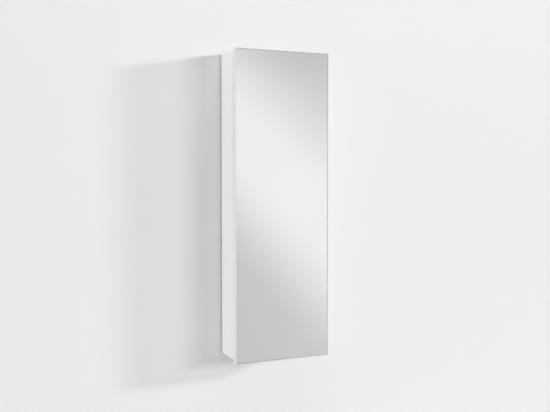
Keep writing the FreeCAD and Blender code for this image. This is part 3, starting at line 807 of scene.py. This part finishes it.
def powder_coat_finish():
    """Fine-textured white powder coat."""
    material, tree, sockets = new_finish("powder_coat", IOR=1.5)
    skin = place_group(tree, pebbled_skin, **POWDER_PEBBLE)
    vary(tree, sockets, skin["Tone"], POWDER_TONES, skin["Height"], POWDER_ROUGHNESS)
    raise_relief(tree, sockets, skin["Height"], POWDER_RELIEF)
    return material


FINISH_OF_SLOT = {"white_steel": powder_coat_finish()}
print("powder coat mixed")

# %% [markdown]
# ## Bright and satin metals
# Three metals differ in little but their polish. The bars are chromed and bright, the hinge and the
# small steel parts have satin nickel with fine upright lines, and the cams and their bolts are zinc,
# dull and clouded. The hinge screws are zinc too, darker and smoother, so that their heads stand out
# from the leaves.

# %% Finish the metals
CHROME_TONES = ((0.80, 0.81, 0.82, 1.0), (0.74, 0.75, 0.76, 1.0))
CHROME_TRAILS = (0.4, 3.0, 3.0)
CHROME_ROUGHNESS = (0.05, 0.16)
NICKEL_TONES = ((0.61, 0.60, 0.57, 1.0), (0.69, 0.68, 0.65, 1.0))
NICKEL_CLOUDS = 22.0
NICKEL_ROUGHNESS = (0.24, 0.40)
NICKEL_RELIEF = 0.02 * MM
CAST_TONES = ((0.52, 0.53, 0.54, 1.0), (0.64, 0.65, 0.66, 1.0))
SCREW_TONES = ((0.40, 0.405, 0.41, 1.0), (0.50, 0.505, 0.51, 1.0))
ZINC_PEBBLE = {"Grains_Per_Metre": 1300.0, "Clouds_Per_Metre": 160.0}
ZINC_RELIEF = 0.06 * MM
ROUGHNESS_SWING = (0.8, 1.2)


def about(roughness):
    """The two ends of a range of roughness round its middle."""
    return [share * roughness for share in ROUGHNESS_SWING]


def chrome_finish():
    """Bright chrome with wiped trails in its gloss."""
    material, tree, sockets = new_finish("bright_chrome", Metallic=1.0)
    trails = place_group(tree, wiped_trails, Stretch=CHROME_TRAILS)
    vary(tree, sockets, trails["Trail"], CHROME_TONES, trails["Trail"], CHROME_ROUGHNESS)
    return material


def nickel_finish():
    """Satin nickel with belt lines up and down."""
    material, tree, sockets = new_finish("satin_nickel", Metallic=1.0)
    lines = place_group(tree, belt_lines)
    clouds = place_group(tree, pebbled_skin, Clouds_Per_Metre=NICKEL_CLOUDS)
    vary(tree, sockets, clouds["Tone"], NICKEL_TONES, lines["Line"], NICKEL_ROUGHNESS)
    raise_relief(tree, sockets, lines["Line"], NICKEL_RELIEF)
    return material


def zinc_finish(name, tones, roughness):
    """Zinc between two tones, clouded, about as rough as given."""
    material, tree, sockets = new_finish(name, Metallic=1.0)
    skin = place_group(tree, pebbled_skin, **ZINC_PEBBLE)
    vary(tree, sockets, skin["Tone"], tones, skin["Tone"], about(roughness))
    raise_relief(tree, sockets, skin["Height"], ZINC_RELIEF)
    return material


FINISH_OF_SLOT["chrome"] = chrome_finish()
FINISH_OF_SLOT["nickel_steel"] = nickel_finish()
FINISH_OF_SLOT["zinc"] = zinc_finish("cast_zinc", CAST_TONES, roughness=0.46)
screw_zinc = zinc_finish("screw_zinc", SCREW_TONES, roughness=0.36)
print("three metals polished")

# %% [markdown]
# ## Dowels and plastics
# Beech dowels are pale wood with short dark flecks along the grain. The bar sockets are glossy white
# mouldings and the latches' sleeves and plungers are grey ones, both with the faint pebble of a mould.

# %% Finish the dowels and the mouldings
BEECH_TONES = ((0.56, 0.38, 0.22, 1.0), (0.76, 0.59, 0.40, 1.0))
BEECH_FLECKS = (0.12, 0.6, 0.6)
BEECH_ROUGHNESS = (0.6, 0.75)
BEECH_RELIEF = 0.04 * MM
WHITE_MOULDING_TONES = ((0.76, 0.76, 0.752, 1.0), (0.80, 0.80, 0.792, 1.0))
GREY_MOULDING_TONES = ((0.50, 0.51, 0.52, 1.0), (0.58, 0.59, 0.60, 1.0))
MOULD_PEBBLE = {"Grains_Per_Metre": 2200.0, "Clouds_Per_Metre": 60.0}
MOULD_RELIEF = 0.03 * MM


def beech_finish():
    """Pale beech with flecks along the dowel."""
    material, tree, sockets = new_finish("beech", IOR=1.45)
    flecks = place_group(tree, belt_lines, Stretch=BEECH_FLECKS)
    vary(tree, sockets, flecks["Line"], BEECH_TONES, flecks["Line"], BEECH_ROUGHNESS)
    raise_relief(tree, sockets, flecks["Line"], BEECH_RELIEF)
    return material


def moulded_finish(name, tones, roughness):
    """Moulded plastic between two tones, about as rough as given."""
    material, tree, sockets = new_finish(name, IOR=1.48)
    skin = place_group(tree, pebbled_skin, **MOULD_PEBBLE)
    vary(tree, sockets, skin["Tone"], tones, skin["Height"], about(roughness))
    raise_relief(tree, sockets, skin["Height"], MOULD_RELIEF)
    return material


FINISH_OF_SLOT["beech"] = beech_finish()
FINISH_OF_SLOT["white_plastic"] = moulded_finish(
    "white_moulding", WHITE_MOULDING_TONES, roughness=0.26)
FINISH_OF_SLOT["grey_plastic"] = moulded_finish(
    "grey_moulding", GREY_MOULDING_TONES, roughness=0.48)
print(len(FINISH_OF_SLOT), "finishes for the small parts")

# %% [markdown]
# ## Dress the small parts
# The record says what each solid is made of, so every small part takes the finish of its material. The
# hinge screws come last, because their zinc takes the place of the nickel that the hinge has.

# %% Give each small part its finish
small_parts = [part for part in frame["record"]["subparts"] if part["material_slot"] in FINISH_OF_SLOT]
for part in small_parts:
    dress(part["node"], FINISH_OF_SLOT[part["material_slot"]])
for screws in ("hinge_screws_carcass", "hinge_screws_door"):
    dress(screws, screw_zinc)
print(len(small_parts), "small parts dressed")
